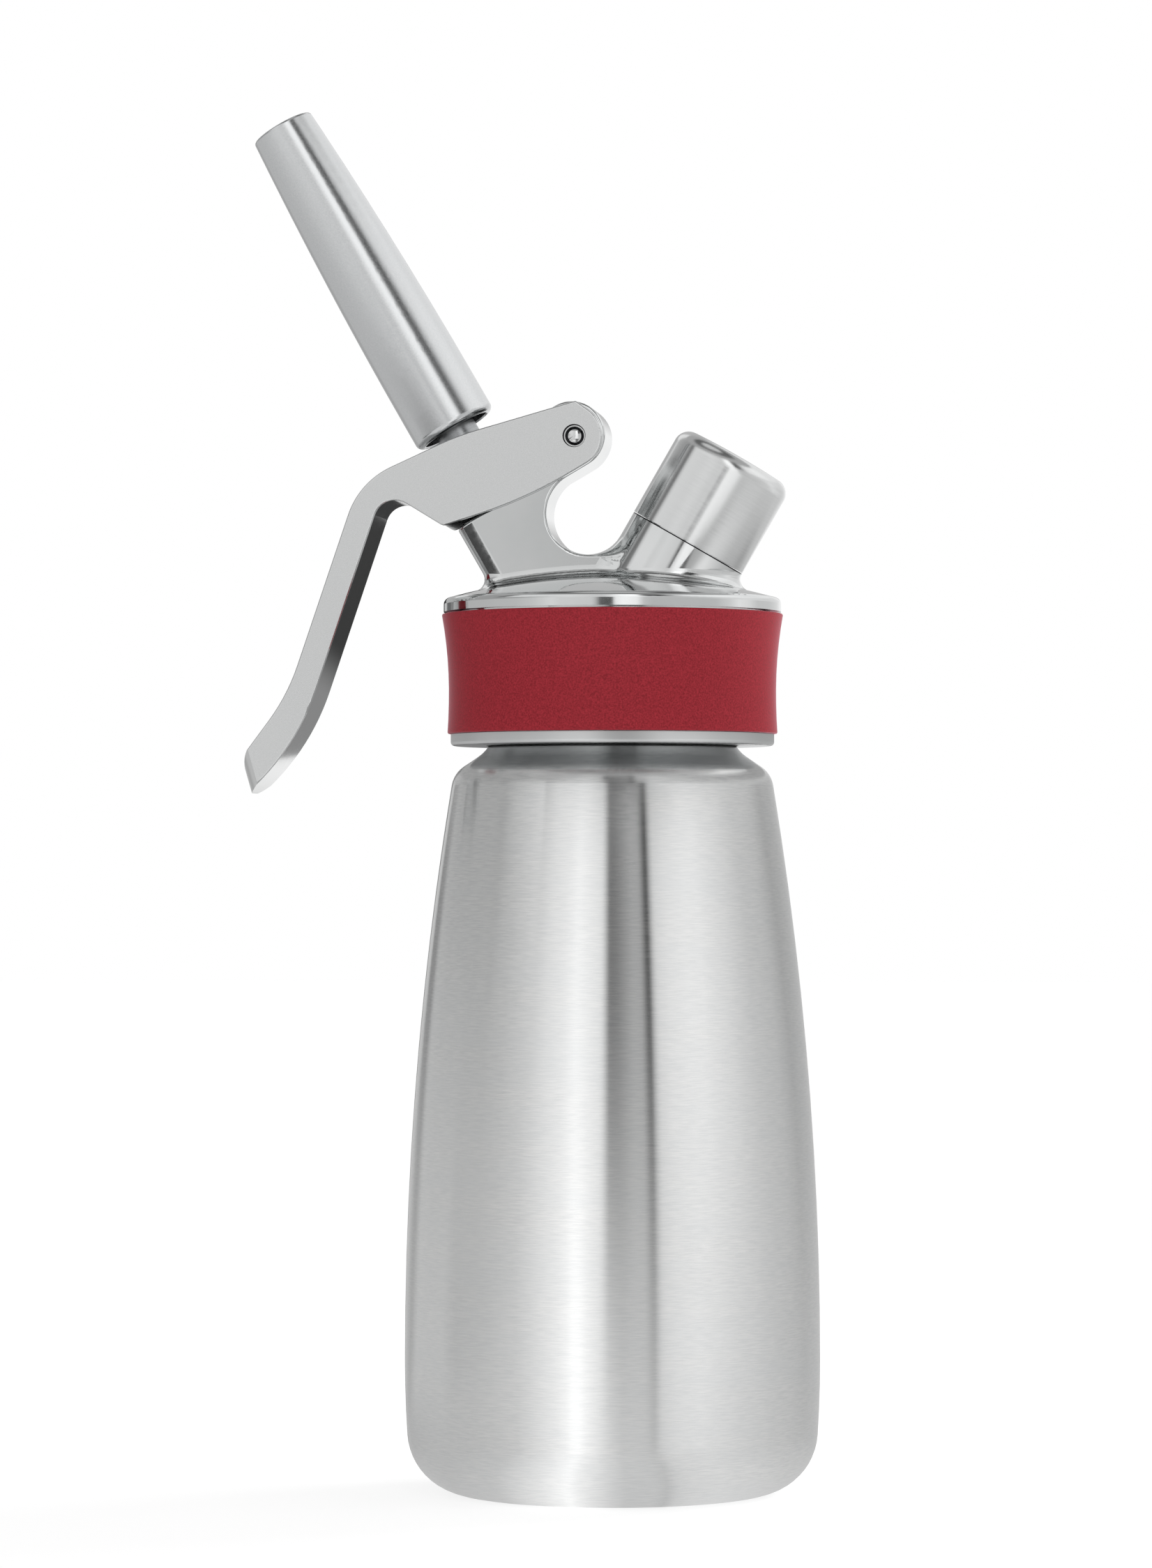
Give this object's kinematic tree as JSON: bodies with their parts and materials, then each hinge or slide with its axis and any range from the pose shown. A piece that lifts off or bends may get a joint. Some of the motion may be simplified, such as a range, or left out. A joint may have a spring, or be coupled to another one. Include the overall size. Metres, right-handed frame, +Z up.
{
  "type": "whipped cream dispenser",
  "caption": "Steel cream dispenser: belly-shaped bottle, screw-on polished head with soft grip band, squeeze lever over a leaning nozzle, and capped gas inlet.",
  "frame": {"origin": "centre of the bottle's flat base, on the bottle's axis", "axes": "+Z up along the bottle; +X towards the capped gas inlet, so the nozzle and handle are at -X; the pivot pin lies along Y"},
  "size_m": [0.1215, 0.0874, 0.2919],
  "materials": {
    "bottle_steel": "fine brushing that runs round the bottle",
    "polished_casting": "mirror polish",
    "cap_steel": "mirror polish",
    "lever_steel": "satin sides with polished edges",
    "nozzle_steel": "fine satin",
    "pin_steel": "polished",
    "inner_steel": "turned",
    "spring_steel": "drawn wire",
    "grip_silicone": "matt, fine grain",
    "seal_silicone": "matt",
    "seal_rubber": "matt"
  },
  "bodies": {
    "bottle": {"bottle": "bottle_steel"},
    "gasket": {"head_gasket": "seal_silicone"},
    "head": {"head_body": "polished_casting", "grip_sleeve": "grip_silicone", "pivot_pin": "pin_steel", "gland_bush": "inner_steel", "stem_o_ring": "seal_rubber", "inlet_valve_body": "inner_steel", "check_sleeve": "seal_rubber", "piercing_pin": "inner_steel", "charger_seal": "seal_rubber", "return_spring": "spring_steel"},
    "lever": {"lever": "lever_steel"},
    "stem": {"valve_stem": "inner_steel", "stem_seat_seal": "seal_rubber", "press_nut": "inner_steel", "lock_nut": "inner_steel"},
    "nozzle_washer": {"nozzle_seal": "seal_rubber"},
    "nozzle": {"decorating_nozzle": "nozzle_steel"},
    "cap_liner": {"cap_seal": "seal_rubber"},
    "cap": {"protective_cap": "cap_steel"}
  },
  "joints": [
    {"name": "head_lift", "type": "slide", "parent": "bottle", "child": "gasket", "axis": [0, 0, 1], "range_m": [0, 0.01201]},
    {"name": "head_turn", "type": "hinge", "parent": "gasket", "child": "head", "pos_m": [0, 0, 0.182], "axis": [0, 0, 1], "range_deg": [0, 1080]},
    {"name": "lever_squeeze", "type": "hinge", "parent": "head", "child": "lever", "pos_m": [-0.0071, 0, 0.2221], "axis": [0, -1, 0], "range_deg": [0, 8], "stiffness_Nm_per_rad": 1.2, "springref_deg": -10.31},
    {"name": "stem_slide", "type": "slide", "parent": "head", "child": "stem", "axis": [0.5, 0, -0.866], "range_m": [0, 0.0031], "deforming": ["return_spring"]},
    {"name": "nozzle_lift", "type": "slide", "parent": "stem", "child": "nozzle_washer", "axis": [-0.5, 0, 0.866], "range_m": [0, 0.00751]},
    {"name": "nozzle_turn", "type": "hinge", "parent": "nozzle_washer", "child": "nozzle", "pos_m": [-0.042, 0, 0.23935], "axis": [-0.5, 0, 0.866], "range_deg": [0, 1800]},
    {"name": "cap_lift", "type": "slide", "parent": "head", "child": "cap_liner", "axis": [0.5, 0, 0.866], "range_m": [0, 0.00801]},
    {"name": "cap_turn", "type": "hinge", "parent": "cap_liner", "child": "cap", "pos_m": [0.0225, 0, 0.21127], "axis": [0.5, 0, 0.866], "range_deg": [0, 1440]}
  ],
  "couplings": [
    {"joint": "head_lift", "follows": "head_turn", "m_per_rad": 0.00063662},
    {"joint": "stem_slide", "follows": "lever_squeeze", "m_per_rad": 0.022},
    {"joint": "nozzle_lift", "follows": "nozzle_turn", "m_per_rad": 0.00023873},
    {"joint": "cap_lift", "follows": "cap_turn", "m_per_rad": 0.00031831}
  ]
}
